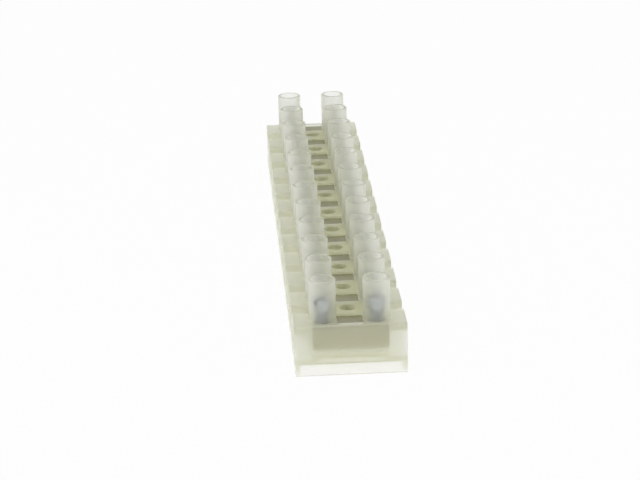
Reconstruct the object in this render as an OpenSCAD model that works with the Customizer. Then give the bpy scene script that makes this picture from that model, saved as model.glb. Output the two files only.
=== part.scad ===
// Screw terminal strip: a row of insulated poles in one translucent moulding.
// Each pole holds a brass clamp tube across the strip and two slotted clamp screws, one under each tower.
// Millimetres, +Z up, the row runs along Y, and the origin is the middle of the base.

/* [Row of poles] */
// Number of poles in the row
pole_count = 12; // [2:1:12]
// Distance from one pole to the next
pole_pitch = 10; // [9:0.1:14]
// Width of the strip across the wire entries
body_width = 18.6; // [17:0.1:24]
// Width of the web that joins two poles
web_width = 13; // [11:0.1:15]
// Radius along the upper edges of a pole
edge_radius = 0.4; // [0.1:0.05:0.8]

/* [Base] */
// Depth of the hollow under a pole
foot_depth = 1.9; // [1:0.1:2.4]
// Depth of the middle of that hollow, under the tube
core_depth = 2.6; // [2:0.1:2.8]
// Width of the deep middle, across the strip
core_width = 11; // [8:0.1:12]
// Length of the deep middle, along the strip
core_length = 3; // [2:0.1:3.2]
// Thickness of the wall around the hollow under a pole
foot_wall = 0.8; // [0.5:0.05:1.2]
// Thickness of the floor between that hollow and a wire entry
floor_thickness = 0.85; // [0.5:0.05:1]
// Chamfer along the lower edges of a pole
base_chamfer = 0.25; // [0.1:0.05:0.4]
// Diameter of the fixing hole in each web
fixing_hole_d = 2.8; // [1.6:0.1:3]

/* [Wire entries] */
// Width of a wire entry along the strip
entry_width = 5; // [4.6:0.1:6]
// Wall between a wire entry and the next gap
entry_wall = 0.8; // [0.6:0.05:1.2]
// Clearance of the wire entry above the bore of the tube
entry_lip = 0.05; // [0.05:0.05:0.4]

/* [Clamp tubes] */
// Bore of a clamp tube, where the wire goes
tube_bore_d = 2.7; // [2.4:0.1:3]
// Thinnest wall of a clamp tube, which is flat on top and round below
tube_wall = 1.1; // [0.9:0.05:1.2]
// Radius along the upper edges of a clamp tube
tube_edge_radius = 0.4; // [0.1:0.05:0.8]
// Length of the tube beyond each screw axis
tube_overhang = 1.85; // [1.6:0.05:2.2]
// Height of the tube axis above the base
tube_axis_z = 5.95; // [5.8:0.05:6.6]
// Gap between a tube and the plastic around it
tube_clearance = 0.05; // [0.02:0.01:0.08]
// Plastic left above the tube
roof_thickness = 0.35; // [0.3:0.05:0.8]

/* [Towers] */
// Distance between the two towers of a pole
tower_spacing = 9; // [8.4:0.1:10]
// Height of a tower above the body
tower_height = 7.2; // [5.5:0.1:9]
// Wall of a tower
tower_wall = 0.5; // [0.35:0.05:0.7]
// Chamfer on the rim of a tower
rim_chamfer = 0.12; // [0.05:0.01:0.2]
// Fillet at the foot of a tower
tower_fillet = 0.2; // [0.1:0.05:0.25]
// Length of the window over the tube, along the strip
window_length = 4.2; // [3:0.1:4.2]
// Land between the window and a tower
window_land = 0.05; // [0.05:0.05:0.6]

/* [Clamp screws] */
// Diameter of the thread, modelled plain
screw_d = 2.4; // [2:0.1:2.6]
// Length of the thread below the head
screw_length = 3.25; // [2.9:0.05:4]
// Diameter of the head
head_d = 3.1; // [2.8:0.1:3.4]
// Height of the head
head_height = 2; // [1.4:0.1:2.4]
// Width of the driver slot
slot_width = 0.6; // [0.4:0.05:0.8]
// Depth of the driver slot
slot_depth = 0.9; // [0.5:0.05:1.1]
// Chamfer on the screw's ends
screw_chamfer = 0.2; // [0.1:0.05:0.3]
// Gap between a head and the bore of its tower
head_clearance = 0.25; // [0.15:0.05:0.4]
// Gap between a thread and its hole in the tube
thread_clearance = 0.05; // [0.02:0.01:0.09]
// Height of the screw's tip above the bore of the tube, with the clamp open
tip_clearance = 0.05; // [0.03:0.01:0.3]

/* [Hidden] */
$fn = 64;
// Overrun of a cut past the face that it opens
over = 1;

tube_size = tube_bore_d + 2 * tube_wall;
tube_length = tower_spacing + 2 * tube_overhang;
pocket_size = tube_size + 2 * tube_clearance;
pocket_floor_z = tube_axis_z - pocket_size / 2;
body_height = pocket_floor_z + pocket_size + roof_thickness;
pole_length = entry_width + 2 * entry_wall;
row_length = (pole_count - 1) * pole_pitch + pole_length;

entry_floor_z = foot_depth + floor_thickness;
entry_ceiling_z = tube_axis_z + tube_bore_d / 2 + entry_lip;

tower_bore_d = head_d + 2 * head_clearance;
tower_od = tower_bore_d + 2 * tower_wall;
tower_top_z = body_height + tower_height;
window_width = tower_spacing - tower_od - 2 * window_land;

tip_z = tube_axis_z + tube_bore_d / 2 + tip_clearance;
shoulder_z = tip_z + screw_length;
head_top_z = shoulder_z + head_height;

poles = [1 : pole_count];
webs = [1 : pole_count - 1];
function pole_y(i) = (i - (pole_count + 1) / 2) * pole_pitch;
function web_y(i) = pole_y(i) + pole_pitch / 2;
// Screws were left at any angle, in steps that don't repeat along the row
function slot_angle(i, side) = (47 * i + 71 * (side + 1)) % 180;
function numbered(name, i) = str(name, i < 10 ? "_0" : "_", i);

// A box centred on X and Y that runs between two heights
module slab(width, length, low, high) {
    translate([-width / 2, -length / 2, low]) cube([width, length, high - low]);
}

// The side view of a pole, with its lower corners chamfered and its upper corners rounded
module pole_profile() {
    half = pole_length / 2;
    shoulder = body_height - edge_radius;
    polygon([
        [-half, shoulder],
        [-half, base_chamfer],
        [base_chamfer - half, 0],
        [half - base_chamfer, 0],
        [half, base_chamfer],
        [half, shoulder]
    ]);
    translate([edge_radius - half, base_chamfer])
        square([pole_length - 2 * edge_radius, body_height - base_chamfer]);
    for (side = [-1, 1]) translate([side * (half - edge_radius), shoulder]) circle(edge_radius);
}

// The section of a clamp tube before it is bored: round below, flat on top with rounded corners
module tube_profile() {
    half = tube_size / 2;
    flat = tube_size - 2 * tube_edge_radius;
    circle(half);
    translate([-half, 0]) square([tube_size, flat / 2]);
    translate([-flat / 2, 0]) square([flat, half]);
    for (x = [-flat / 2, flat / 2]) translate([x, flat / 2]) circle(tube_edge_radius);
}

// One pole without its towers, as wide as the strip
module pole_block() {
    translate([-body_width / 2, 0, 0])
        rotate([90, 0, 90])
            linear_extrude(body_width) pole_profile();
}

// A screw tower with a chamfered rim and a fillet at its foot, rooted in the body
module tower() {
    outer = tower_od / 2;
    root_z = body_height - roof_thickness / 2;
    rotate_extrude() difference() {
        polygon([
            [0, root_z],
            [outer + tower_fillet, root_z],
            [outer + tower_fillet, body_height],
            [outer, body_height + tower_fillet],
            [outer, tower_top_z - rim_chamfer],
            [outer - rim_chamfer, tower_top_z],
            [0, tower_top_z]
        ]);
        translate([outer + tower_fillet, body_height + tower_fillet]) circle(tower_fillet);
    }
}

// What one pole leaves empty: tube pocket, wire entries, window, screw shafts and the hollow under it
module pole_hollows() {
    hollow_length = pole_length - 2 * foot_wall;
    slab(tube_length + 2 * tube_clearance, pocket_size, pocket_floor_z, pocket_floor_z + pocket_size);
    for (side = [-1, 1]) {
        inner = tube_length / 2;
        outer = body_width / 2 + over;
        translate([side * (inner + outer) / 2, 0, 0])
            slab(outer - inner, entry_width, entry_floor_z, entry_ceiling_z);
        translate([side * tower_spacing / 2, 0, tube_axis_z])
            cylinder(d = tower_bore_d, h = tower_top_z - tube_axis_z + over);
    }
    slab(window_width, window_length, tube_axis_z, body_height + over);
    slab(body_width - 2 * foot_wall, hollow_length, -over, foot_depth);
    slab(core_width, core_length, -over, core_depth);
}

// The moulding: poles, webs and towers in one piece
module housing() {
    web_length = row_length - pole_length;
    color([0.86, 0.87, 0.78]) difference() {
        union() {
            slab(web_width, web_length, 0, body_height);
            for (i = poles) translate([0, pole_y(i), 0]) {
                pole_block();
                for (side = [-1, 1]) translate([side * tower_spacing / 2, 0, 0]) tower();
            }
        }
        for (i = poles) translate([0, pole_y(i), 0]) pole_hollows();
        for (i = webs) translate([0, web_y(i), -over])
            cylinder(d = fixing_hole_d, h = body_height + 2 * over);
    }
}

// A brass tube across pole i, with a tapped hole under each tower
module clamp_tube(i) {
    hole_d = screw_d + 2 * thread_clearance;
    color([0.80, 0.68, 0.38]) translate([0, pole_y(i), tube_axis_z]) difference() {
        rotate([90, 0, 90]) linear_extrude(tube_length, center = true) tube_profile();
        rotate([0, 90, 0]) cylinder(d = tube_bore_d, h = tube_length + 2 * over, center = true);
        for (side = [-1, 1]) translate([side * tower_spacing / 2, 0, 0])
            cylinder(d = hole_d, h = tube_size);
    }
}

// A slotted cheese-head screw on its axis, tip down, at the height where the clamp is open
module clamp_screw(i, side) {
    thread = screw_d / 2;
    head = head_d / 2;
    color([0.72, 0.76, 0.78]) translate([side * tower_spacing / 2, pole_y(i), 0]) difference() {
        rotate_extrude() polygon([
            [0, tip_z],
            [thread - screw_chamfer, tip_z],
            [thread, tip_z + screw_chamfer],
            [thread, shoulder_z],
            [head, shoulder_z],
            [head, head_top_z - screw_chamfer],
            [head - screw_chamfer, head_top_z],
            [0, head_top_z]
        ]);
        rotate(slot_angle(i, side))
            slab(head_d + 2 * over, slot_width, head_top_z - slot_depth, head_top_z + over);
    }
}

housing();
for (i = poles) {
    clamp_tube(i);
    clamp_screw(i, -1);
    clamp_screw(i, 1);
}
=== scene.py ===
"""Looks of a screw terminal strip in translucent natural plastic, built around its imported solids."""
import math

import bmesh
import bpy
from mathutils import Matrix, Vector


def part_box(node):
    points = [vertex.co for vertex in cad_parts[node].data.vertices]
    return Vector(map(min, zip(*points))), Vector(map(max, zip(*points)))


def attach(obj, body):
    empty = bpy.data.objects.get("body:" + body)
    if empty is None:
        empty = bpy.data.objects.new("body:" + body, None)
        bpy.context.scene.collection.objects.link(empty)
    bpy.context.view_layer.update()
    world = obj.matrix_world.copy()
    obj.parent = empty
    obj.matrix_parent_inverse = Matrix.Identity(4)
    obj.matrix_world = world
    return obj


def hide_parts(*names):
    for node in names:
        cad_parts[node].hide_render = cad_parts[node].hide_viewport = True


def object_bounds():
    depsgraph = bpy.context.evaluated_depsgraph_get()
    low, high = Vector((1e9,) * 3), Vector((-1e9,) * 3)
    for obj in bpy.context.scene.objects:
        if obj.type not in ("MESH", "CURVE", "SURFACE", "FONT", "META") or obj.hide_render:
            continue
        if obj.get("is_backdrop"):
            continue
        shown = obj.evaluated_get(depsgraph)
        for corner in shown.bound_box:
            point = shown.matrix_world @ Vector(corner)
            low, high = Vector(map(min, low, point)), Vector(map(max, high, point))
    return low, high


MM = 0.001

# Camera, fitted to the photograph: where it aims, how far off it stands, and how it is turned, in radians
CAMERA_AIM_MM = (-1.667, 0.0, 3.186)
CAMERA_DISTANCE_MM = 434.255
CAMERA_YAW = -0.05314
CAMERA_PITCH = 0.34107
CAMERA_ROLL = -0.02331
CAMERA_LENS_MM = 129.41
CAMERA_SENSOR_MM = 36.0
CAMERA_CLIP_M = (0.01, 20.0)

# Floor: its paint, and the share of its own light that it shows to the camera and through the plastic
FLOOR_HALF_MM = 3000.0
FLOOR_TONE = (0.9, 0.9, 0.9)
FLOOR_GLOW = 0.95
FLOOR_GLOW_THROUGH = 1.0

# Light
WHITE = (1.0, 1.0, 1.0, 1.0)
WORLD_STRENGTH = 0.62
LAMP_WATTS = 1.4
LAMP_PLACE_MM = (-250, -450, 550)
LAMP_SIZE_MM = 600
LIGHT_BOUNCES = 64

# Noises: the middle of their range, which is spread over the whole of what they drive, and how fine they go
NOISE_MIDDLE = (0.3, 0.7)
NOISE_ROUGHNESS = 0.55
PLAIN_DETAIL = 1.0
USUAL_DETAIL = 3.0
FINE_DETAIL = 4.0

# Plastic: how much of its light is scattered or taken up on the way, and the grain of its skin
PLASTIC_IOR = 1.5
PLASTIC_SCATTER_PER_M = 600.0
PLASTIC_FORWARD = 0.6
PLASTIC_TAKEN_PER_M = (25.0, 24.0, 62.0)
PLASTIC_SKIN_TONES = ((0.97, 0.975, 0.975), (1.0, 1.0, 1.0))
PLASTIC_ROUGHNESS = (0.3, 0.4)
PLASTIC_CLOUD_PER_M = 180.0
PLASTIC_GRAIN_PER_M = 1600.0
PLASTIC_WAVE_PER_M = 350.0
PLASTIC_WAVE_MM = 0.01

# Metals: two tones each, how rough they are, and the lines of their working, long where the factor is small
METAL_STAIN_PER_M = 900.0
METAL_LINES_PER_M = 6000.0
METAL_PITS_PER_M = 2500.0
METAL_RELIEF_MM = 0.006
ZINC_TONES = ((0.39, 0.42, 0.455), (0.54, 0.56, 0.57))
ZINC_ROUGHNESS = (0.22, 0.42)
ZINC_LINES = (1.0, 1.0, 0.1)
# Brass tones: partly the metal's own yellow, partly painted shade and a painted olive cast of the plastic
# around it, darker and greener than bare brass
BRASS_TONES_WITH_PAINTED_SHADE = ((0.388, 0.38, 0.26), (0.487, 0.472, 0.335))
BRASS_ROUGHNESS = (0.28, 0.46)
BRASS_LINES = (0.05, 1.0, 1.0)

# Clamp screws
THREAD_D_MM = 2.4
THREAD_PITCH_MM = 0.45
THREAD_DEPTH_MM = 0.27
# Share of a half pitch that the thread's root takes, and the share over which its flank then rises
THREAD_ROOT_SHARE = 0.25
THREAD_FLANK_SHARE = 0.6
THREAD_SIDES = 40
ROWS_PER_PITCH = 10
HEAD_HEIGHT_MM = 2.0
HEAD_SIDES = 64
HEAD_EDGE_STEPS = 4
# Steps of the head's lower edge: how far in and how far up
HEAD_LOWER_EDGE_MM = ((0.06, 0.0), (0.02, 0.02), (0.0, 0.06))
SHANK_IN_HEAD_MM = 0.3
SHARP_ANGLE_DEG = 38
SLOT_WIDTH_MM = 0.6
SLOT_DEPTH_MM = 0.9
SCREW_CHAMFER_MM = 0.2
# Angles that the screws were left at: the step from pole to pole, and from one side to the other
SLOT_STEP_DEG = 47
SLOT_SIDE_DEG = 142

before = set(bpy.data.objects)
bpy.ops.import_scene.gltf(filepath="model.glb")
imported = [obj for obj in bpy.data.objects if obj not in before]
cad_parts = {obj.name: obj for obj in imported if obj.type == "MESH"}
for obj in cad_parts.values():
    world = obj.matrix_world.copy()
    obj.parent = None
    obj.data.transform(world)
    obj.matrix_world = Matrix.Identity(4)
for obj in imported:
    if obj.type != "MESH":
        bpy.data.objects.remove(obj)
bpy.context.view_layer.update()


def new_material(name):
    """A material with an empty node tree, its tree and its output."""
    material = bpy.data.materials.new(name)
    material.use_nodes = True
    tree = material.node_tree
    tree.nodes.clear()
    return material, tree, tree.nodes.new("ShaderNodeOutputMaterial")


def add_node(tree, kind, **inputs):
    """A node of that kind, with its inputs set by name."""
    node = tree.nodes.new(kind)
    for name, value in inputs.items():
        node.inputs[name.replace("_", " ")].default_value = value
    return node


def place_coordinates(tree, stretch=(1.0, 1.0, 1.0)):
    """The point on the piece, in metres, stretched by a factor each way."""
    point = tree.nodes.new("ShaderNodeTexCoord")
    mapping = add_node(tree, "ShaderNodeMapping", Scale=stretch)
    tree.links.new(point.outputs["Object"], mapping.inputs["Vector"])
    return mapping.outputs[0]


def noise(tree, vector, per_m, detail=USUAL_DETAIL):
    """Noise with that many features to the metre."""
    node = add_node(tree, "ShaderNodeTexNoise", Scale=per_m, Detail=detail, Roughness=NOISE_ROUGHNESS)
    tree.links.new(vector, node.inputs["Vector"])
    return node.outputs["Fac"]


def spread(tree, value, low, high):
    """The middle of a noise's range, spread from low to high."""
    node = tree.nodes.new("ShaderNodeMapRange")
    for i, number in enumerate((*NOISE_MIDDLE, low, high), 1):
        node.inputs[i].default_value = number
    tree.links.new(value, node.inputs[0])
    return node.outputs[0]


def two_tones(tree, value, tones):
    """A colour between two tones."""
    ramp = tree.nodes.new("ShaderNodeValToRGB")
    for element, place, tone in zip(ramp.color_ramp.elements, NOISE_MIDDLE, tones):
        element.position = place
        element.color = (*tone, 1.0)
    tree.links.new(value, ramp.inputs[0])
    return ramp.outputs[0]


def bump(tree, height, depth_mm, under=None):
    """A normal bent by a height, over another normal if there is one."""
    node = add_node(tree, "ShaderNodeBump", Distance=depth_mm * MM)
    tree.links.new(height, node.inputs["Height"])
    if under:
        tree.links.new(under, node.inputs["Normal"])
    return node.outputs[0]


def plastic_material():
    """Natural plastic: a slightly grained clear skin over a body that scatters light and takes up blue."""
    material, tree, output = new_material("natural_plastic")
    skin = add_node(tree, "ShaderNodeBsdfPrincipled", IOR=PLASTIC_IOR, Transmission_Weight=1.0)
    tree.links.new(skin.outputs[0], output.inputs["Surface"])
    point = place_coordinates(tree)
    cloud = noise(tree, point, PLASTIC_CLOUD_PER_M)
    tree.links.new(two_tones(tree, cloud, PLASTIC_SKIN_TONES), skin.inputs["Base Color"])
    grain = noise(tree, point, PLASTIC_GRAIN_PER_M, FINE_DETAIL)
    tree.links.new(spread(tree, grain, *PLASTIC_ROUGHNESS), skin.inputs["Roughness"])
    wave = noise(tree, point, PLASTIC_WAVE_PER_M, PLAIN_DETAIL)
    tree.links.new(bump(tree, wave, PLASTIC_WAVE_MM), skin.inputs["Normal"])
    scatter = add_node(
        tree,
        "ShaderNodeVolumeScatter",
        Color=WHITE,
        Density=PLASTIC_SCATTER_PER_M,
        Anisotropy=PLASTIC_FORWARD,
    )
    most = max(PLASTIC_TAKEN_PER_M)
    tint = (*[1 - taken / most for taken in PLASTIC_TAKEN_PER_M], 1.0)
    absorb = add_node(tree, "ShaderNodeVolumeAbsorption", Color=tint, Density=most)
    both = tree.nodes.new("ShaderNodeAddShader")
    tree.links.new(scatter.outputs[0], both.inputs[0])
    tree.links.new(absorb.outputs[0], both.inputs[1])
    tree.links.new(both.outputs[0], output.inputs["Volume"])
    return material


def metal_material(name, tones, roughness, lines):
    """Worked metal: two tones, uneven gloss, and fine lines as its tool left them."""
    material, tree, output = new_material(name)
    skin = add_node(tree, "ShaderNodeBsdfPrincipled", Metallic=1.0)
    tree.links.new(skin.outputs[0], output.inputs["Surface"])
    point = place_coordinates(tree)
    stain = noise(tree, point, METAL_STAIN_PER_M, FINE_DETAIL)
    tree.links.new(two_tones(tree, stain, tones), skin.inputs["Base Color"])
    worked = noise(tree, place_coordinates(tree, lines), METAL_LINES_PER_M)
    tree.links.new(spread(tree, worked, *roughness), skin.inputs["Roughness"])
    pits = bump(tree, noise(tree, point, METAL_PITS_PER_M), METAL_RELIEF_MM)
    tree.links.new(bump(tree, worked, METAL_RELIEF_MM, pits), skin.inputs["Normal"])
    return material


def floor_material():
    """White floor that keeps a faint shadow."""
    material, tree, output = new_material("white_floor")
    material.cycles.emission_sampling = "NONE"
    paint = add_node(tree, "ShaderNodeBsdfDiffuse", Color=(*FLOOR_TONE, 1.0))
    glow = add_node(tree, "ShaderNodeEmission", Strength=1.0)
    path = tree.nodes.new("ShaderNodeLightPath")
    shares = []
    for ray, share in (
        ("Is Camera Ray", FLOOR_GLOW),
        ("Is Glossy Ray", FLOOR_GLOW_THROUGH),
        ("Is Transmission Ray", FLOOR_GLOW_THROUGH),
    ):
        part = tree.nodes.new("ShaderNodeMath")
        part.operation = "MULTIPLY"
        part.inputs[1].default_value = share
        tree.links.new(path.outputs[ray], part.inputs[0])
        shares.append(part.outputs[0])
    while len(shares) > 1:
        most = tree.nodes.new("ShaderNodeMath")
        most.operation = "MAXIMUM"
        tree.links.new(shares.pop(), most.inputs[0])
        tree.links.new(shares.pop(), most.inputs[1])
        shares.append(most.outputs[0])
    mix = tree.nodes.new("ShaderNodeMixShader")
    tree.links.new(shares[0], mix.inputs[0])
    tree.links.new(paint.outputs[0], mix.inputs[1])
    tree.links.new(glow.outputs[0], mix.inputs[2])
    tree.links.new(mix.outputs[0], output.inputs["Surface"])
    return material


def make_floor():
    """A wide white floor at the height of the base."""
    half = FLOOR_HALF_MM * MM
    mesh = bpy.data.meshes.new("floor")
    corners = [(-half, -half, 0), (half, -half, 0), (half, half, 0), (-half, half, 0)]
    mesh.from_pydata(corners, [], [(0, 1, 2, 3)])
    floor = bpy.data.objects.new("floor", mesh)
    bpy.context.scene.collection.objects.link(floor)
    mesh.materials.append(floor_material())
    floor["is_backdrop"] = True


def make_world():
    """Even white light from all round, which shows to the camera as white."""
    world = bpy.data.worlds.new("studio")
    bpy.context.scene.world = world
    world.use_nodes = True
    tree = world.node_tree
    tree.nodes.clear()
    output = tree.nodes.new("ShaderNodeOutputWorld")
    light = add_node(tree, "ShaderNodeBackground", Color=WHITE, Strength=WORLD_STRENGTH)
    white = add_node(tree, "ShaderNodeBackground", Color=WHITE, Strength=1.0)
    path = tree.nodes.new("ShaderNodeLightPath")
    mix = tree.nodes.new("ShaderNodeMixShader")
    tree.links.new(path.outputs["Is Camera Ray"], mix.inputs[0])
    tree.links.new(light.outputs[0], mix.inputs[1])
    tree.links.new(white.outputs[0], mix.inputs[2])
    tree.links.new(mix.outputs[0], output.inputs["Surface"])


def make_camera():
    """The photograph's viewpoint."""
    data = bpy.data.cameras.new("camera")
    data.sensor_fit = "HORIZONTAL"
    data.sensor_width = CAMERA_SENSOR_MM
    data.lens = CAMERA_LENS_MM
    data.clip_start, data.clip_end = CAMERA_CLIP_M
    flat = math.cos(CAMERA_PITCH)
    forward = Vector((-math.sin(CAMERA_YAW) * flat, math.cos(CAMERA_YAW) * flat, -math.sin(CAMERA_PITCH)))
    level = forward.cross(Vector((0, 0, 1))).normalized()
    rise = level.cross(forward)
    right = math.cos(CAMERA_ROLL) * level + math.sin(CAMERA_ROLL) * rise
    up = math.cos(CAMERA_ROLL) * rise - math.sin(CAMERA_ROLL) * level
    turn = Matrix((right, up, -forward)).transposed().to_4x4()
    place = (Vector(CAMERA_AIM_MM) - forward * CAMERA_DISTANCE_MM) * MM
    camera = bpy.data.objects.new("camera", data)
    camera.matrix_world = Matrix.Translation(place) @ turn
    bpy.context.scene.collection.objects.link(camera)
    bpy.context.scene.camera = camera


def make_lamp(name, place_mm, aim_mm, size_mm, watts):
    """A square soft lamp."""
    data = bpy.data.lights.new(name, "AREA")
    data.size = size_mm * MM
    data.energy = watts
    lamp = bpy.data.objects.new(name, data)
    lamp.location = Vector(place_mm) * MM
    away = lamp.location - Vector(aim_mm) * MM
    lamp.rotation_euler = away.to_track_quat("Z", "Y").to_euler()
    bpy.context.scene.collection.objects.link(lamp)


def turned(name, rings, sides):
    """A closed solid of revolution about Z: each ring is a function from angle to (radius, height), in mm."""
    bm = bmesh.new()
    angles = [2 * math.pi * i / sides for i in range(sides)]
    loops = []
    for ring in rings:
        loop = []
        for a in angles:
            r, z = ring(a)
            loop.append(bm.verts.new((r * math.cos(a) * MM, r * math.sin(a) * MM, z * MM)))
        loops.append(loop)
    for low, high in zip(loops, loops[1:]):
        for i in range(sides):
            j = (i + 1) % sides
            bm.faces.new((low[i], low[j], high[j], high[i]))
    bm.faces.new(list(reversed(loops[0])))
    bm.faces.new(loops[-1])
    bmesh.ops.recalc_face_normals(bm, faces=bm.faces)
    mesh = bpy.data.meshes.new(name)
    bm.to_mesh(mesh)
    bm.free()
    return mesh


def thread_ring(z, low, high):
    """The outline of the threaded shank at height z, which runs from low to high."""
    outer = THREAD_D_MM / 2
    root = outer - THREAD_DEPTH_MM
    runout = min(1.0, max(0.0, (high - z) / THREAD_PITCH_MM))
    cone = outer - SCREW_CHAMFER_MM + z - low

    def ring(angle):
        turn = (z / THREAD_PITCH_MM - angle / (2 * math.pi)) % 1.0
        rise = min(1.0, max(0.0, (abs(2 * turn - 1) - THREAD_ROOT_SHARE) / THREAD_FLANK_SHARE))
        return min(root + THREAD_DEPTH_MM * rise * runout, cone), z

    return ring


def head_rings(low, high, radius):
    """The outlines of the head, with its two edges rounded over."""
    edge = SCREW_CHAMFER_MM
    steps = [(radius - inward, low + upward) for inward, upward in HEAD_LOWER_EDGE_MM]
    for i in range(HEAD_EDGE_STEPS + 1):
        a = math.radians(90 * i / HEAD_EDGE_STEPS)
        steps.append((radius - edge + edge * math.cos(a), high - edge + edge * math.sin(a)))
    return [lambda angle, r=r, z=z: (r, z) for r, z in steps]


def box_mesh(name, half_mm, middle_mm):
    """A box, for cutting."""
    bm = bmesh.new()
    bmesh.ops.create_cube(bm, size=2.0)
    bmesh.ops.scale(bm, vec=Vector(half_mm) * MM, verts=bm.verts)
    bmesh.ops.translate(bm, vec=Vector(middle_mm) * MM, verts=bm.verts)
    mesh = bpy.data.meshes.new(name)
    bm.to_mesh(mesh)
    bm.free()
    return mesh


def combined(base, other, operation):
    """The mesh of a solid after another one is cut from it or joined to it."""
    parts = [bpy.data.objects.new("part", mesh) for mesh in (base, other)]
    for part in parts:
        bpy.context.scene.collection.objects.link(part)
    cut = parts[0].modifiers.new("cut", "BOOLEAN")
    cut.operation = operation
    cut.object = parts[1]
    cut.solver = "EXACT"
    graph = bpy.context.evaluated_depsgraph_get()
    mesh = bpy.data.meshes.new_from_object(parts[0].evaluated_get(graph))
    for part in parts:
        bpy.data.objects.remove(part)
    return mesh


def screw_mesh(material):
    """A slotted cheese-head screw with a real thread, tip down, on the Z axis."""
    low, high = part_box("screw_left_01")
    tip, top = low[2] / MM, high[2] / MM
    shoulder = top - HEAD_HEIGHT_MM
    rows = round((shoulder - tip) / THREAD_PITCH_MM * ROWS_PER_PITCH)
    heights = [tip + (shoulder - tip) * i / rows for i in range(rows + 1)]
    rings = [thread_ring(z, tip, shoulder) for z in heights]
    rings.append(thread_ring(shoulder + SHANK_IN_HEAD_MM, tip, shoulder))
    shank = turned("shank", rings, THREAD_SIDES)
    radius = (high[0] - low[0]) / MM / 2
    head = turned("head", head_rings(shoulder, top, radius), HEAD_SIDES)
    slot = box_mesh("slot", (2 * radius, SLOT_WIDTH_MM / 2, SLOT_DEPTH_MM), (0, 0, top))
    mesh = combined(combined(head, slot, "DIFFERENCE"), shank, "UNION")
    mesh.name = "clamp_screw"
    mesh.materials.clear()
    mesh.materials.append(material)
    mesh.shade_smooth()
    mesh.set_sharp_from_angle(angle=math.radians(SHARP_ANGLE_DEG))
    return mesh


def slot_angle(name):
    """The angle that a screw was left at, as in its solid."""
    _, side, pole = name.split("_")
    return math.radians(SLOT_STEP_DEG * int(pole) + (SLOT_SIDE_DEG if side == "right" else 0))


scene = bpy.context.scene
scene.view_settings.view_transform = "Standard"
scene.cycles.max_bounces = 2 * LIGHT_BOUNCES
scene.cycles.transmission_bounces = LIGHT_BOUNCES
scene.cycles.volume_bounces = LIGHT_BOUNCES
scene.cycles.glossy_bounces = LIGHT_BOUNCES
scene.cycles.blur_glossy = 0.0

make_camera()
make_world()
make_floor()
make_lamp("top_lamp", LAMP_PLACE_MM, (0, 0, 0), LAMP_SIZE_MM, LAMP_WATTS)

plastic = plastic_material()
brass = metal_material("tube_brass", BRASS_TONES_WITH_PAINTED_SHADE, BRASS_ROUGHNESS, BRASS_LINES)
zinc = metal_material("screw_zinc", ZINC_TONES, ZINC_ROUGHNESS, ZINC_LINES)
screw = screw_mesh(zinc)
for name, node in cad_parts.items():
    if name.startswith("screw"):
        low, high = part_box(name)
        piece = bpy.data.objects.new(f"{name}_threaded", screw)
        piece.location = ((low[0] + high[0]) / 2, (low[1] + high[1]) / 2, 0)
        piece.rotation_euler.z = slot_angle(name)
        bpy.context.scene.collection.objects.link(piece)
        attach(piece, name)
        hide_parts(name)
    else:
        for slot in node.material_slots:
            slot.material = plastic if name == "housing" else brass

low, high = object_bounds()
